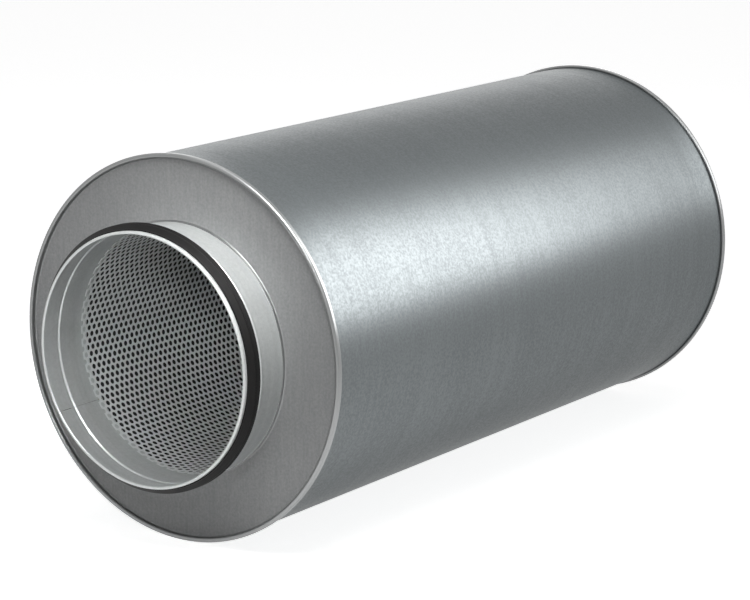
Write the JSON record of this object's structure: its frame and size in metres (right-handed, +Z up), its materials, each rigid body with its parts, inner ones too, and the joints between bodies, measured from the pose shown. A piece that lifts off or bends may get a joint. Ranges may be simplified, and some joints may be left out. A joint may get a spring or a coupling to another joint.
{
  "type": "round duct silencer",
  "caption": "Round duct sound attenuator: galvanised casing packed with mineral wool round a perforated airway, with a lip-sealed spigot at each end.",
  "frame": {"origin": "middle of the casing, on the duct's axis", "axes": "+X along the duct's axis towards the rear spigot, +Z up"},
  "size_m": [0.6936, 0.3048, 0.3048],
  "materials": {
    "casing_zinc": "satin hot-dip galvanised sheet",
    "cap_zinc": "brushed galvanised sheet",
    "spigot_zinc": "bright galvanised sheet",
    "liner_zinc": "perforated galvanised sheet",
    "seal_rubber": "matt black rubber",
    "glass_tissue": "black glass tissue",
    "mineral_wool": "matt mineral wool"
  },
  "bodies": {
    "root": {"casing": "casing_zinc", "front_end_cap": "cap_zinc", "rear_end_cap": "cap_zinc", "front_spigot": "spigot_zinc", "rear_spigot": "spigot_zinc", "front_lip_seal": "seal_rubber", "rear_lip_seal": "seal_rubber", "perforated_liner": "liner_zinc", "glass_tissue_wrap": "glass_tissue", "mineral_wool": "mineral_wool"}
  },
  "joints": []
}
